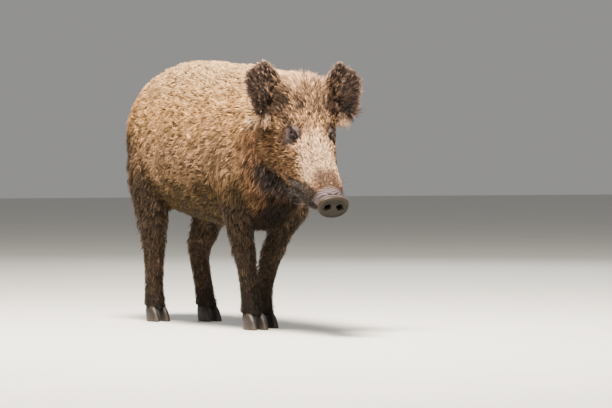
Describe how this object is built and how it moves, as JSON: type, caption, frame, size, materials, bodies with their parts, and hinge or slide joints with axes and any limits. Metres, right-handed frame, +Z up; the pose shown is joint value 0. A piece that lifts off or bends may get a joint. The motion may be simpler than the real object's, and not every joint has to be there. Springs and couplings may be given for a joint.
{
  "type": "wild boar",
  "caption": "Life-size still model of a wild boar standing in mid-step, head low and turned a little to its right, in a dense short coat.",
  "frame": {"origin": "on the floor, under the middle of the bounding box", "axes": "+X towards the snout, +Y to the animal's left, +Z up"},
  "size_m": [1.2986, 0.3772, 0.821],
  "materials": {
    "coat": "dense short bristly fur, straw on the back, darker below",
    "face": "short pale fur with brown streaks",
    "legs": "short flat blackish-brown fur",
    "ears": "dark brown fur with a cream fringe",
    "snout": "bare, finely wrinkled skin, slightly moist",
    "eyes": "wet, clear over dark reddish brown",
    "hooves": "worn horn, faintly ridged"
  },
  "bodies": {
    "root": {"trunk": "coat", "neck": "coat", "tail": "coat", "head": "face", "lower_jaw": "face", "foreleg_left_upper": "legs", "foreleg_left_lower": "legs", "foreleg_right_upper": "legs", "foreleg_right_lower": "legs", "hindleg_left_upper": "legs", "hindleg_left_lower": "legs", "hindleg_right_upper": "legs", "hindleg_right_lower": "legs", "tail_brush": "legs", "ear_left": "ears", "ear_right": "ears", "snout_disc": "snout", "eye_left": "eyes", "eye_right": "eyes", "hoof_foreleg_left_inner": "hooves", "hoof_foreleg_left_outer": "hooves", "hoof_foreleg_right_inner": "hooves", "hoof_foreleg_right_outer": "hooves", "hoof_hindleg_left_inner": "hooves", "hoof_hindleg_left_outer": "hooves", "hoof_hindleg_right_inner": "hooves", "hoof_hindleg_right_outer": "hooves", "dewclaw_foreleg_left_inner": "hooves", "dewclaw_foreleg_left_outer": "hooves", "dewclaw_foreleg_right_inner": "hooves", "dewclaw_foreleg_right_outer": "hooves", "dewclaw_hindleg_left_inner": "hooves", "dewclaw_hindleg_left_outer": "hooves", "dewclaw_hindleg_right_inner": "hooves", "dewclaw_hindleg_right_outer": "hooves"}
  },
  "joints": []
}
